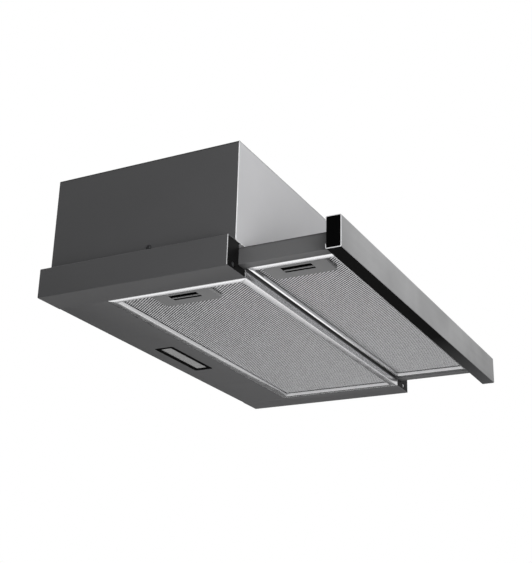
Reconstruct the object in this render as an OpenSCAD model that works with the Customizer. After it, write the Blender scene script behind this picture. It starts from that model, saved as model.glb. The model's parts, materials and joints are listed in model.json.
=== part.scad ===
// Pull out range hood, seen from the front: X to the right, Y to the wall, Z up.
// The origin is the middle of the back face's bottom edge. The drawer is drawn pulled out.

/* [Tray] */
// Width of the tray
tray_w = 600; // [500:10:900]
// Depth of the tray from the wall to its front
tray_d = 278; // [272:1:320]
// Height of the tray
tray_h = 40; // [40:1:50]
// Width of the underside of each side frame
rail_w = 46; // [45:1:54]
// Depth of the rear panel that holds the lamp
rear_d = 76; // [66:1:90]
// Height of the folded lips beside the filters
lip_h = 10.5; // [9:0.5:11]
// Thickness of the painted sheet
sheet = 0.8; // [0.6:0.1:0.9]
// Outer radius of a bend in sheet
bend_r = 1.4; // [1.3:0.1:2]

/* [Housing] */
// Height of the hood without its duct collar
hood_h = 175; // [172:1:210]
// Inset of the housing from each side of the tray
housing_inset = 21; // [19:1:24]
// Inset of the housing's front from the tray's front
front_inset = 1; // [0.5:0.5:4]
// Width of the flanges that join the sheets
flange_w = 12; // [10:1:14]

/* [Drawer] */
// How far the drawer pulls out
travel = 124.5; // [110:0.5:130]
// Height of the drawer's underside
drawer_z = 12; // [11.5:0.5:13]
// Height of the drawer's side walls
drawer_h = 20.6; // [20:0.2:22]
// Inset of the drawer's walls from the tray's sides
drawer_inset = 29.5; // [29:0.5:31]
// Thickness of the drawer's sheet
drawer_t = 1; // [0.8:0.1:1.2]
// Gap behind the drawer when it is pushed in
drawer_back_gap = 10.5; // [10:0.5:14]

/* [Front panel] */
// Inset of the front panel's ends from the sides of the tray
panel_inset = 3; // [1:0.5:6]
// Thickness of the front panel
panel_t = 19.5; // [16:0.5:24]
// Height of the front panel
panel_h = 40; // [38:1:46]
// Height of the lips at the back of the panel's skin
panel_lip = 6; // [4:0.5:7]
// Length of each end cap
cap_len = 6; // [4:0.5:10]

/* [Filters] */
// Thickness of a filter cassette
filter_t = 9; // [9:0.2:9.6]
// Width of a filter's border
border_w = 12.5; // [12:0.5:14]
// Height of the outer mesh above a filter's underside
mesh_z = 4.1; // [4:0.1:4.4]
// Thickness of the outer mesh and the inner screen
mesh_t = 0.6; // [0.4:0.1:0.7]
// Columns of openings in a mesh
mesh_cols = 22; // [12:1:22]
// Width of a handle plate
plate_w = 37; // [35:1:44]
// Length of a handle plate
plate_len = 83; // [70:1:90]
// Length of the finger slot
slot_len = 41; // [34:1:50]
// How far a latch slides back
latch_travel = 3.5; // [3.2:0.1:3.6]

/* [Blower] */
// Inner radius of the scroll at its tongue, as a share of the height inside the housing
scroll_share = 0.375; // [0.37:0.005:0.38]
// Growth of the scroll's radius round to the outlet, as a share of the same height
scroll_grow_share = 0.12; // [0.09:0.005:0.13]
// Half the inner width of the scroll
scroll_half = 56; // [54:1:60]
// Gap between the impeller's blades and the scroll's tongue
fan_gap = 4; // [3:0.5:6]
// Number of blades on the impeller
blade_count = 36; // [18:1:48]
// Lap of the inlets over the impeller's blades
inlet_lap = 9; // [8:0.5:11]
// Radius of the motor, as a share of the inlets' radius
motor_share = 0.73; // [0.62:0.01:0.74]

/* [Duct] */
// Outer radius of the duct collar
duct_r = 59.5; // [58:0.5:62]
// Height of the collar above the housing
duct_h = 40; // [36:1:60]
// Wall of the collar
duct_t = 2; // [1.6:0.1:2.4]

/* [Lamp] */
// Length of the lamp's bezel
lamp_w = 117.4; // [90:0.2:200]
// Width of the lamp's bezel
lamp_d = 30.4; // [28:0.2:34]
// Distance of the lamp's middle from the wall
lamp_y = 37.3; // [32:0.1:42]

/* [Hidden] */
$fn = 48;
// Overrun of every cut
over = 1;
// Facets of one bend
bend_n = 4;
// Gap round a piece that drops into a folded sheet
fit_gap = 0.2;
// Gap between a round fastener and its hole
hole_gap = 0.1;

// Colours, as the photograph shows them
paint = [0.27, 0.27, 0.28];
paint_front = [0.66, 0.66, 0.67];
moulding = [0.09, 0.09, 0.1];
steel = [0.62, 0.62, 0.63];
alloy = [0.8, 0.8, 0.81];
zinc = [0.7, 0.71, 0.72];

// Main places
half_w = tray_w / 2;
inner_x = half_w - rail_w;
house_x = half_w - housing_inset;
wall_x = half_w - drawer_inset;
house_front_y = -tray_d + front_inset;
roof_z = hood_h - sheet;
inside_h = roof_z - tray_h;
panel_w = tray_w - 2 * panel_inset;
close_gap = 0.5;
out_y = -(tray_d + close_gap + travel);
drawer_back_y = -(drawer_back_gap + travel);
drawer_top_z = drawer_z + drawer_h;

// Cabinet screw holes in the tray's top flanges
fix_r = 2.25;
fix_inset = 10;
fix_end = 39;
fix_pitch = tray_d - 2 * fix_end;
fix_y = -tray_d / 2;

// Self-tapping screws
screw_r = 2;
screw_head_r = 3.6;
screw_head_h = 2.2;
screw_len = 6;
screw_slot_w = 0.9;
screw_slot_d = 0.8;
side_screw_y = -152;
side_screw_z = 52;
flange_screw_end = 49;
flange_screw_pitch = tray_d / 2 - flange_screw_end;

// Guide blocks, fixed runners and the drawer's slides
guide_len = 28;
guide_set = 0.5;
guide_clear = 0.8;
guide_screw_x = half_w - 17;
guide_screw_z = 7.4;
guide_sink = 2.5;
runner_t = 1.2;
runner_z = 14;
runner_h = 18;
runner_w = 13;
runner_clear = 1.5;
runner_back = 9;
runner_foot_w = 15;
runner_foot_h = 10;
runner_foot_inset = 51;
slide_clear = 0.3;
slide_inset = 2;

// Filters
filter_gap = 0.5;
filter_w = 2 * (inner_x - filter_gap);
rear_y0 = -tray_d;
rear_y1 = -rear_d - filter_gap;
front_gap = 3;
front_back_gap = 1;
front_lift = 0.5;
front_y0 = out_y + front_gap;
front_y1 = -tray_d - front_back_gap;
front_z = drawer_z + front_lift;
frame_t = 0.5;
frame_r = 0.9;
border_flat_share = 0.8;
back_border_w = 5;
// Each handle sits in the middle of what shows between the front and back borders
function handle_y(y0, y1, back_w) = (y0 + y1 + border_w - back_w) / 2;
rear_handle_y = handle_y(rear_y0, rear_y1, border_w);
front_handle_y = handle_y(front_y0, front_y1, back_border_w);
border_rise = 3.4;
return_w = 8;
mitre_gap = 0.1;
mesh_margin_share = 0.64;
mesh_pitch_y = 13.2;
mesh_web = 3.2;
mesh_open_share = 1.44;
screen_cols = 10;
screen_rows = 4;
screen_web = 10;
screen_gap = 0.1;
tab_len = 6.5;
tab_w = 20;
tab_z = 1.4;
tab_t = 1;
tab_pitch = 80;
tab_room = 4.6;
plate_t = 1.2;
plate_z = 0.6;
plate_rim = 1;
plate_gap = 0.3;
plate_r = 4;
slot_x = 17.2;
slot_w = 16.5;
slot_r = 3;
cup_t = 0.8;
cup_h = 6.8;
latch_z = 5;
latch_t = 1.2;
latch_reach = 3;
tongue_w = 17;
latch_bar_x = 7;
latch_bar_w = 3;
latch_arm_w = 3;
grip_x = 27;
grip_w = 2.5;
grip_z = 0.8;
latch_clear = 0.4;

// Blower
scroll_r0 = inside_h * scroll_share;
scroll_grow = inside_h * scroll_grow_share;
fan_r = scroll_r0 - fan_gap;
inlet_r = fan_r - inlet_lap;
motor_r = inlet_r * motor_share;
scroll_t = 1.2;
tongue_a = 75;
spiral_steps = 30;
scroll_floor_gap = 1.5;
scroll_foot = 8;
function scroll_r(a) = scroll_r0 + scroll_grow * (a - tongue_a) / (360 - tongue_a);
duct_y = -tray_d / 2;
duct_ir = duct_r - duct_t;
duct_offset = 40;
fan_y = duct_y - duct_offset;
fan_z = tray_h + sheet + scroll_floor_gap + scroll_t + scroll_r(270);
bell_w = 4;
bell_d = 6;
bell_r = 3;
fan_half = 50;
blade_in_share = 0.8;
blade_t = 1;
blade_lean = 26;
blade_steps = 5;
ring_w = 3;
ring_h = 5;
disc_t = 1.5;
disc_share = 0.9;
hub_r = 9;
hub_len = 14;
shaft_r = 4;
shaft_out = 14;
shaft_in = 30;
motor_in = 12;
motor_len = 60;
motor_flange_r = motor_r + 3.5;
motor_flange_x = 62;
motor_flange_t = 2;
motor_step = 4;
bracket_t = 2;
bracket_ring_r = motor_r + 4;
bracket_gap = 0.2;
bracket_arm_w = 9;
bracket_angles = [30, 150, 270];
grommet_room = 6;
grommet_at = inlet_r + bell_w + grommet_room;
grommet_r = 4;
grommet_neck = 2.4;
grommet_bore = 1.5;

// Duct collar and its flaps
collar_flange_r = duct_r + 12.5;
collar_flange_t = 2.5;
collar_screw_r = duct_r + 6.5;
ledge_w = 2.2;
ledge_t = 1.2;
flap_up = 14;
flap_t = 1.2;
flap_gap = 1;
flap_pin_r = 1.5;
knuckle_r = 3;
knuckle_gap = 0.4;
knuckle_count = 4;
pin_gap = 0.05;

// Terminal box, gland and capacitor
box_w = 90;
box_side_gap = 39;
box_x = house_x - box_side_gap - box_w / 2;
box_y = -90;
box_d = 60;
box_h = 34;
box_t = 2;
gland_r = 8;
gland_bore = 4.2;
gland_hex = 11;
gland_hex_h = 5;
gland_top = 9;
gland_nut_h = 4;
gland_in = 7;
cap_box_gap = 40;
cap_x = box_x - box_w / 2 - cap_box_gap;
cap_y = -60;
cap_r = 14;
cap_h = 48;
cap_base = 2;
cap_stud_r = 4;
cap_stud_h = 7;
cap_nut_r = 7.5;
cap_nut_h = 4;

// Lamp
lamp_r = 3;
lamp_rim_w = 6;
lamp_h = 9;
lamp_ledge = 1;
lamp_step = 1;
lamp_flange = 4;
lamp_flange_t = 1.2;
lens_t = 2;
lens_gap = 0.3;
board_over = 3;
board_t = 1.6;
led_w = 3;
led_h = 0.8;
led_count = 12;

// Limit switch
switch_w = 20;
switch_h = 10;
switch_z = 23;
switch_gap = 0.3;
plunger_out = 1.9;
plunger_len = 5.5;
plunger_r = 1.5;
plunger_bore = 7;

// Front panel and the switch block behind it
cap_gap = 0.2;
drawer_flange = 14;
panel_screw_z = [17, 28];
top_tuck = 16;
bar_h = 8;
bar_w = 13;
bar_tuck = 19;
switch_plate_w = 90;
switch_plate_inset = 30.5;
switch_plate_x = wall_x - switch_plate_inset - switch_plate_w / 2;
switch_plate_d = 20;
switch_plate_t = 2.4;
switch_plate_set = 4;
switch_plate_r = 2;
switch_body_rim = 3;
switch_body_h = 7.5;
slider_slot_w = 4.4;
light_slot_inset = 15;
light_slot_x = switch_plate_x - switch_plate_w / 2 + light_slot_inset;
light_travel = 8;
slot_pitch = 35;
speed_slot_x = light_slot_x + slot_pitch;
speed_travel = 24;
slider_w = 9;
slider_d = 12;
slider_h = 2.8;
slider_gap = 0.2;
slider_stem = 4;
slider_stem_h = 5;
slider_grip = 1;

// Folded sheet: a path becomes a strip whose thickness lies to the left of the path.
function unit(v) = v / norm(v);
function left_of(v) = [-v[1], v[0]];
function turned(v, a) = [v[0] * cos(a) - v[1] * sin(a), v[0] * sin(a) + v[1] * cos(a)];
function reversed(v) = [for (i = [len(v) - 1 : -1 : 0]) v[i]];
function bend_points(p, a, b, r) =
    let (
        s = sign(cross(a, b)),
        turn = acos(max(-1, min(1, a * b))),
        start = p - a * r * tan(turn / 2),
        c = start + s * r * left_of(a)
    )
    [for (k = [0 : bend_n]) c - s * r * turned(left_of(a), s * turn * k / bend_n)];
function fold_side(path, shift, t, r) = [
    for (i = [0 : len(path) - 1])
        let (
            first = i == 0,
            last = i == len(path) - 1,
            a = unit(first ? path[1] - path[0] : path[i] - path[i - 1]),
            b = unit(last ? path[i] - path[i - 1] : path[i + 1] - path[i]),
            na = left_of(a),
            nb = left_of(b),
            corner = path[i] + shift * (na + nb) / (1 + na * nb),
            outer = (cross(a, b) > 0) == (shift == 0)
        )
        each (first || last || r == 0) ? [corner] : bend_points(corner, a, b, outer ? r : r - t)
];
module folded(path, t = sheet, r = bend_r) {
    polygon(concat(fold_side(path, 0, t, r), reversed(fold_side(path, t, t, r))));
}

// A rectangle with round corners, centred
corner_n = 5;
function rounded_points(w, d, r) = [
    for (q = [0 : 3])
        for (k = [0 : corner_n])
            let (a = 90 * q + 90 * k / corner_n, sx = (q == 0 || q == 3) ? 1 : -1, sy = q < 2 ? 1 : -1)
            [sx * (w / 2 - r) + r * cos(a), sy * (d / 2 - r) + r * sin(a)]
];
module rounded(w, d, r) {
    polygon(rounded_points(w, d, r));
}

// Runs an outline drawn in Y and Z along X, or one drawn in X and Z along Y
module run_x(x0, x1) {
    translate([x0, 0, 0]) rotate([90, 0, 90]) linear_extrude(x1 - x0) children();
}
module run_y(y0, y1) {
    translate([0, y1, 0]) rotate([90, 0, 0]) linear_extrude(y1 - y0) children();
}
module span(x0, x1, y0, y1, z0, z1) {
    translate([x0, y0, z0]) cube([x1 - x0, y1 - y0, z1 - z0]);
}
module pair() {
    children();
    mirror([1, 0, 0]) children();
}

// A screw that points down, its head resting at z = 0
module screw() {
    difference() {
        rotate_extrude() polygon([
            [0, -screw_len], [screw_r * screw_tip_share, -screw_len], [screw_r, -screw_len + screw_r],
            [screw_r, 0], [screw_head_r, 0], [screw_head_r, screw_head_h * screw_rim_share],
            [screw_head_r * screw_top_share, screw_head_h], [0, screw_head_h]
        ]);
        for (turn = [0, 90])
            rotate([0, 0, turn])
                span(-screw_r, screw_r, -screw_slot_w / 2, screw_slot_w / 2,
                     screw_head_h - screw_slot_d, screw_head_h + over);
    }
}
screw_tip_share = 0.4;
screw_rim_share = 0.45;
screw_top_share = 0.6;

// Tray: a side frame has its lip beside the filter only, and is flat where it meets the rear panel
module side_frame_shape() {
    outline = [[-house_x + flange_w, tray_h], [-half_w, tray_h], [-half_w, 0], [-inner_x, 0]];
    difference() {
        union() {
            run_y(-tray_d, -rear_d) folded(concat(outline, [[-inner_x, lip_h]]));
            run_y(-rear_d, 0) folded(outline);
            span(-half_w + sheet / 2, -inner_x, -sheet, 0, sheet / 2, tray_h - sheet / 2);
        }
        for (y = [fix_y - fix_pitch / 2, fix_y + fix_pitch / 2])
            translate([-half_w + fix_inset, y, tray_h - sheet - over])
                cylinder(r = fix_r, h = sheet + 2 * over);
        flange_screw_places()
            translate([0, 0, tray_h - sheet - over])
                cylinder(r = screw_r + hole_gap, h = sheet + 2 * over);
    }
}
module flange_screw_places() {
    for (k = [-1 : 1])
        translate([-house_x + flange_w / 2, fix_y + k * flange_screw_pitch, 0]) children();
}
module latch_slot(y, z, x, t) {
    translate([x - t - over, y - tongue_w / 2 - latch_clear, z + latch_z - latch_clear])
        cube([t + 2 * over, tongue_w + 2 * latch_clear, latch_t + 2 * latch_clear]);
}
module tab_slots(y0, y1, z, x, t) {
    for (k = [-1, 1])
        translate([x - over, (y0 + y1) / 2 + k * tab_pitch / 2 - tab_w / 2 - latch_clear,
                   z + tab_z - latch_clear])
            cube([t + 2 * over, tab_w + 2 * latch_clear, tab_room]);
}
module side_frame_left() {
    color(paint) difference() {
        side_frame_shape();
        latch_slot(rear_handle_y, 0, -inner_x, sheet);
    }
}
module side_frame_right() {
    color(paint) difference() {
        mirror([1, 0, 0]) side_frame_shape();
        tab_slots(rear_y0, rear_y1, 0, inner_x, sheet);
    }
}
module rear_panel() {
    color(paint) difference() {
        run_x(-inner_x, inner_x) folded([
            [-rear_d, lip_h], [-rear_d, 0], [0, 0], [0, tray_h]
        ]);
        translate([0, -lamp_y, -over])
            linear_extrude(sheet + 2 * over)
                rounded(lamp_w + 2 * lens_gap, lamp_d + 2 * lens_gap, lamp_r + lens_gap);
    }
}

// Guide blocks, runners and slides
module guide_block() {
    foot_x = -inner_x - sheet - fit_gap;
    side_x = -half_w + sheet + fit_gap;
    low_z = sheet + fit_gap;
    top_z = tray_h - sheet - fit_gap;
    color(moulding) difference() {
        run_y(-tray_d + guide_set, -tray_d + guide_len) polygon([
            [side_x, low_z], [foot_x, low_z], [foot_x, lip_h], [-wall_x - guide_clear, lip_h],
            [-wall_x - guide_clear, top_z], [side_x, top_z]
        ]);
        translate([-guide_screw_x, -tray_d + guide_set - over, guide_screw_z]) rotate([-90, 0, 0]) {
            cylinder(r = screw_head_r + fit_gap, h = guide_sink + over);
            cylinder(r = screw_r + hole_gap, h = guide_sink + screw_len + 2 * over);
        }
    }
}
module runner() {
    back_x = -wall_x - runner_clear - runner_w;
    open_x = -wall_x - runner_clear;
    foot_z = runner_z + (runner_h - runner_foot_h) / 2;
    color(zinc) {
        run_y(-tray_d + guide_len + fit_gap, -runner_back) folded([
            [open_x, runner_z + runner_h], [back_x, runner_z + runner_h],
            [back_x, runner_z], [open_x, runner_z]
        ], runner_t, runner_t * runner_bend_share);
        for (y = [-tray_d + guide_len + runner_foot_inset / 2, -runner_back - runner_foot_inset])
            span(-half_w + sheet, back_x + runner_t / 2, y, y + runner_foot_w,
                 foot_z, foot_z + runner_foot_h);
    }
}
runner_bend_share = 1.3;
module slide() {
    far_x = -wall_x - runner_clear - runner_w + runner_t + slide_clear;
    low_z = runner_z + runner_t + slide_clear;
    high_z = runner_z + runner_h - runner_t - slide_clear;
    color(zinc) run_y(-tray_d + guide_len + close_gap, drawer_back_y - slide_inset) folded([
        [far_x, low_z], [-wall_x, low_z], [-wall_x, high_z], [far_x, high_z]
    ], runner_t, runner_t * runner_bend_share);
}
module guide_block_left() { guide_block(); }
module guide_block_right() { mirror([1, 0, 0]) guide_block(); }
module runner_left() { runner(); }
module runner_right() { mirror([1, 0, 0]) runner(); }
module slide_left() { slide(); }
module slide_right() { mirror([1, 0, 0]) slide(); }

// Housing
module housing_side() {
    color(paint) difference() {
        run_y(house_front_y + sheet, -sheet) folded([
            [-house_x + flange_w, roof_z], [-house_x, roof_z],
            [-house_x, tray_h], [-house_x + flange_w, tray_h]
        ]);
        translate([-house_x - over, side_screw_y, side_screw_z])
            rotate([0, 90, 0]) cylinder(r = screw_r + hole_gap, h = sheet + 2 * over);
        flange_screw_places()
            translate([0, 0, tray_h - over])
                cylinder(r = screw_r + hole_gap, h = sheet + 2 * over);
    }
}
module housing_left() { housing_side(); }
module housing_right() { mirror([1, 0, 0]) housing_side(); }
// A front or back sheet: it covers the edges of the side sheets, and its flanges stop short of theirs.
module cross_sheet() {
    flange_end = house_x - flange_w - fit_gap;
    span(-house_x, house_x, 0, sheet, tray_h, roof_z);
    run_x(-flange_end, flange_end) folded([
        [flange_w, roof_z], [0, roof_z], [0, tray_h], [flange_w, tray_h]
    ]);
}
module housing_front() {
    color(paint_front) translate([0, house_front_y, 0]) cross_sheet();
}
module housing_back() {
    color(paint) mirror([0, 1, 0]) cross_sheet();
}
module housing_top() {
    color(paint) difference() {
        span(-house_x, house_x, house_front_y, 0, roof_z, hood_h);
        translate([0, duct_y, roof_z - over]) cylinder(r = duct_ir, h = sheet + 2 * over, $fn = 96);
        translate([box_x, box_y, roof_z - over])
            cylinder(r = gland_r + pin_gap * 2, h = sheet + 2 * over);
        translate([cap_x, cap_y, roof_z - over])
            cylinder(r = cap_stud_r + hole_gap, h = sheet + 2 * over);
        collar_screw_places(roof_z - over)
            cylinder(r = screw_r + hole_gap, h = sheet + 2 * over);
    }
}

// Duct collar and its two flaps
module collar_screw_places(z) {
    for (k = [0 : 3])
        translate([0, duct_y, z])
            rotate([0, 0, 45 + 90 * k]) translate([collar_screw_r, 0, 0]) children();
}
module duct_collar() {
    lead = duct_t / 2;
    ledge_z = flap_up - flap_t / 2 - hole_gap;
    color(moulding) difference() {
        translate([0, duct_y, hood_h]) rotate_extrude($fn = 96) polygon([
            [duct_ir, 0], [collar_flange_r, 0], [collar_flange_r, collar_flange_t],
            [duct_r, collar_flange_t], [duct_r, duct_h - lead], [duct_r - lead, duct_h],
            [duct_ir, duct_h], [duct_ir, ledge_z], [duct_ir - ledge_w, ledge_z],
            [duct_ir - ledge_w, ledge_z - ledge_t], [duct_ir, ledge_z - ledge_t - ledge_w]
        ]);
        translate([-duct_r - over, duct_y, hood_h + flap_up])
            rotate([0, 90, 0]) cylinder(r = flap_pin_r + pin_gap, h = 2 * (duct_r + over));
        collar_screw_places(hood_h - over)
            cylinder(r = screw_r + hole_gap, h = collar_flange_t + 2 * over);
    }
}
module flap_pin() {
    color(steel) translate([-duct_r + duct_t / 4, duct_y, hood_h + flap_up])
        rotate([0, 90, 0]) cylinder(r = flap_pin_r, h = 2 * duct_r - duct_t / 2);
}
// One flap: a half disc with two knuckles, the first of them in the given place along the pin
module flap(first) {
    reach = duct_ir - flap_gap;
    pitch = 2 * (reach - knuckle_r * 2) / knuckle_count;
    inner = knuckle_r + knuckle_gap;
    difference() {
        union() {
            intersection() {
                cylinder(r = reach, h = flap_t, center = true, $fn = 96);
                span(-reach, reach, inner, reach, -flap_t, flap_t);
            }
            for (k = [first : 2 : knuckle_count - 1]) {
                x0 = -reach + knuckle_r * 2 + k * pitch + knuckle_gap;
                x1 = x0 + pitch - 2 * knuckle_gap;
                translate([x0, 0, 0]) rotate([0, 90, 0]) cylinder(r = knuckle_r, h = x1 - x0);
                span(x0, x1, 0, inner + knuckle_gap, -flap_t / 2, flap_t / 2);
            }
        }
        translate([-reach, 0, 0])
            rotate([0, 90, 0]) cylinder(r = flap_pin_r + pin_gap, h = 2 * reach);
    }
}
module flap_rear() {
    color(moulding) translate([0, duct_y, hood_h + flap_up]) flap(0);
}
module flap_front() {
    color(moulding) translate([0, duct_y, hood_h + flap_up]) mirror([0, 1, 0]) flap(1);
}

// Blower: the scroll's outline is drawn in Y and Z about the fan's axis
outlet_front = duct_offset - duct_ir;
outlet_back = duct_offset + duct_ir;
outlet_z = roof_z - fan_z;
function scroll_point(a, g) = (scroll_r(a) + g) * [cos(a), sin(a)];
function spiral(g) = [
    for (k = [0 : spiral_steps])
        scroll_point(tongue_a + (360 - tongue_a) * k / spiral_steps, g)
];
module at_fan() {
    translate([0, fan_y, fan_z]) children();
}
module scroll_wrap() {
    tongue = scroll_point(tongue_a, 0);
    color(moulding) at_fan() run_x(-scroll_half, scroll_half) {
        folded(concat(
            [[outlet_back + scroll_foot, outlet_z], [outlet_back, outlet_z]],
            reversed(spiral(0))
        ), scroll_t, 0);
        folded([
            tongue, [outlet_front, outlet_z], [outlet_front - scroll_foot, outlet_z]
        ], scroll_t, 0);
    }
}
// A scroll's side sheet, with its bell-mouthed inlet and a foot under the housing's top
module scroll_side() {
    color(moulding) at_fan() {
        difference() {
            run_x(scroll_half, scroll_half + scroll_t) polygon(concat(
                [[outlet_front - scroll_t, outlet_z]],
                spiral(scroll_t),
                [[outlet_back + scroll_t, outlet_z]]
            ));
            translate([scroll_half - over, 0, 0])
                rotate([0, 90, 0]) cylinder(r = inlet_r + bell_w / 2, h = scroll_t + 2 * over);
        }
        translate([scroll_half + scroll_t, 0, 0]) rotate([0, 90, 0]) rotate_extrude($fn = 96)
            folded([[inlet_r + bell_w, 0], [inlet_r, 0], [inlet_r, -bell_d]], scroll_t, bell_r);
        span(scroll_half + scroll_t / 2, scroll_half + scroll_foot, outlet_front, outlet_back,
             outlet_z - scroll_t, outlet_z);
    }
}
module scroll_side_left() { mirror([1, 0, 0]) scroll_side(); }
module scroll_side_right() { scroll_side(); }
// A blade is an arc that leans forward from the inner edge of the wheel to its rim.
function blade_path() = [
    for (k = [0 : blade_steps])
        let (s = k / blade_steps, r = fan_r * (blade_in_share + (1 - blade_in_share) * s))
        r * [cos(blade_lean * s * s / 4), sin(blade_lean * s * s / 4)]
];
module impeller() {
    color(moulding) at_fan() {
        run_x(-fan_half, fan_half)
            for (k = [0 : blade_count - 1]) rotate(360 * k / blade_count)
                folded(blade_path(), blade_t, 0);
        for (x = [-fan_half, fan_half - ring_h])
            translate([x, 0, 0]) rotate([0, 90, 0]) difference() {
                cylinder(r = fan_r + blade_t, h = ring_h, $fn = 96);
                translate([0, 0, -over]) cylinder(r = fan_r - ring_w, h = ring_h + 2 * over, $fn = 96);
            }
        rotate([0, 90, 0]) difference() {
            union() {
                cylinder(r = fan_r * disc_share, h = disc_t, $fn = 96);
                cylinder(r = hub_r, h = hub_len);
            }
            translate([0, 0, -over]) cylinder(r = shaft_r + pin_gap, h = hub_len + 2 * over);
        }
    }
}
module fan_shaft() {
    color(steel) at_fan() translate([-shaft_in, 0, 0])
        rotate([0, 90, 0]) cylinder(r = shaft_r, h = shaft_in + shaft_out);
}
module motor() {
    x0 = -motor_in - motor_len;
    color(zinc) at_fan() rotate([0, 90, 0]) rotate_extrude() polygon([
        [0, x0], [motor_r - 2 * motor_step, x0], [motor_r - motor_step, x0 + motor_step],
        [motor_r, x0 + motor_step], [motor_r, -motor_flange_x], [motor_flange_r, -motor_flange_x],
        [motor_flange_r, -motor_flange_x + motor_flange_t], [motor_r, -motor_flange_x + motor_flange_t],
        [motor_r, -motor_in - motor_step], [motor_r - motor_step, -motor_in],
        [shaft_r + pin_gap, -motor_in], [shaft_r + pin_gap, -shaft_in - over], [0, -shaft_in - over]
    ]);
}
module motor_bracket() {
    color(zinc) at_fan() run_x(-motor_flange_x - bracket_t, -motor_flange_x) difference() {
        union() {
            circle(r = bracket_ring_r);
            for (a = bracket_angles) rotate(a) {
                translate([motor_r, -bracket_arm_w / 2])
                    square([grommet_at - motor_r, bracket_arm_w]);
                translate([grommet_at, 0]) circle(r = bracket_arm_w / 2);
            }
        }
        circle(r = motor_r + bracket_gap);
        for (a = bracket_angles)
            rotate(a) translate([grommet_at, 0]) circle(r = grommet_neck + bracket_gap);
    }
}
module motor_grommets() {
    far_x = -motor_flange_x - bracket_t;
    near_x = -scroll_half - scroll_t;
    color([0.15, 0.15, 0.15]) at_fan() for (a = bracket_angles)
        rotate([a, 0, 0]) translate([0, grommet_at, 0]) rotate([0, 90, 0]) rotate_extrude()
            polygon([
                [grommet_bore, far_x - bracket_t], [grommet_r, far_x - bracket_t], [grommet_r, far_x],
                [grommet_neck, far_x], [grommet_neck, -motor_flange_x],
                [grommet_r, -motor_flange_x], [grommet_r, near_x], [grommet_bore, near_x]
            ]);
}

// Terminal box with its lid and cable gland, and the motor's capacitor
module terminal_box() {
    color(moulding) difference() {
        span(box_x - box_w / 2, box_x + box_w / 2, box_y - box_d / 2, box_y + box_d / 2,
             roof_z - box_h, roof_z);
        span(box_x - box_w / 2 + box_t, box_x + box_w / 2 - box_t,
             box_y - box_d / 2 + box_t, box_y + box_d / 2 - box_t,
             roof_z - box_h - over, roof_z - box_t);
        translate([box_x, box_y, roof_z - box_h])
            cylinder(r = gland_r + pin_gap * 2, h = box_h + over);
    }
}
module terminal_lid() {
    rim_gap = 2 * (box_t + fit_gap);
    color(moulding) translate([box_x, box_y, roof_z - box_h - box_t]) {
        linear_extrude(box_t) rounded(box_w, box_d, box_t);
        translate([0, 0, box_t / 2]) linear_extrude(box_t * 2)
            difference() {
                square([box_w - rim_gap, box_d - rim_gap], center = true);
                square([box_w - 5 * box_t, box_d - 5 * box_t], center = true);
            }
    }
}
module cable_gland() {
    nut_z = -sheet - box_t - gland_nut_h;
    color(moulding) translate([box_x, box_y, hood_h]) {
        difference() {
            union() {
                translate([0, 0, nut_z - gland_in + gland_nut_h])
                    cylinder(r = gland_r, h = gland_in - nut_z);
                cylinder(r = gland_hex, h = gland_hex_h, $fn = 6);
                translate([0, 0, gland_hex_h]) cylinder(r1 = gland_hex * gland_base_share,
                    r2 = gland_r, h = gland_top);
            }
            translate([0, 0, nut_z - gland_in])
                cylinder(r = gland_bore, h = gland_in - nut_z + gland_hex_h + gland_top + over);
        }
        translate([0, 0, nut_z]) difference() {
            cylinder(r = gland_hex, h = gland_nut_h, $fn = 6);
            translate([0, 0, -over]) cylinder(r = gland_r + pin_gap * 2, h = gland_nut_h + 2 * over);
        }
    }
}
gland_base_share = 0.86;
module capacitor() {
    color(zinc) translate([cap_x, cap_y, roof_z]) {
        translate([0, 0, -cap_base - cap_h]) cylinder(r = cap_r, h = cap_h);
        translate([0, 0, -cap_base - over / 2]) cylinder(r = cap_r / 2, h = cap_base + over / 2);
        translate([0, 0, -over / 2]) cylinder(r = cap_stud_r, h = sheet + cap_stud_h + over / 2);
        translate([0, 0, sheet]) difference() {
            cylinder(r = cap_nut_r, h = cap_nut_h, $fn = 6);
            translate([0, 0, -over]) cylinder(r = cap_stud_r + hole_gap, h = cap_nut_h + 2 * over);
        }
    }
}

// Lamp
module lamp_bezel() {
    open_w = lamp_w - 2 * lamp_rim_w;
    open_d = lamp_d - 2 * lamp_rim_w;
    color(moulding) translate([0, -lamp_y, 0]) difference() {
        union() {
            linear_extrude(lamp_h) rounded(lamp_w, lamp_d, lamp_r);
            translate([0, 0, sheet]) linear_extrude(lamp_flange_t)
                rounded(lamp_w + 2 * lamp_flange, lamp_d + 2 * lamp_flange, lamp_r);
        }
        translate([0, 0, -over]) linear_extrude(lamp_h + 2 * over) rounded(open_w, open_d, lamp_r / 2);
        translate([0, 0, lamp_ledge]) linear_extrude(lamp_h)
            rounded(open_w + 2 * lamp_step, open_d + 2 * lamp_step, lamp_r / 2);
    }
}
module lamp_lens() {
    w = lamp_w - 2 * lamp_rim_w + 2 * lamp_step - 2 * lens_gap;
    d = lamp_d - 2 * lamp_rim_w + 2 * lamp_step - 2 * lens_gap;
    color([0.75, 0.76, 0.76]) translate([0, -lamp_y, lamp_ledge])
        linear_extrude(lens_t) rounded(w, d, lamp_r / 2);
}
module lamp_board() {
    w = lamp_w - 2 * lamp_rim_w;
    color([0.85, 0.86, 0.82]) translate([0, -lamp_y, lamp_h]) {
        linear_extrude(board_t) rounded(w + 2 * board_over, lamp_d - 2 * board_over, lamp_r);
        for (k = [0 : led_count - 1])
            translate([(k - (led_count - 1) / 2) * w / led_count, 0, -led_h / 2])
                cube([led_w, led_w, led_h + over / 2], center = true);
    }
}

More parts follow.
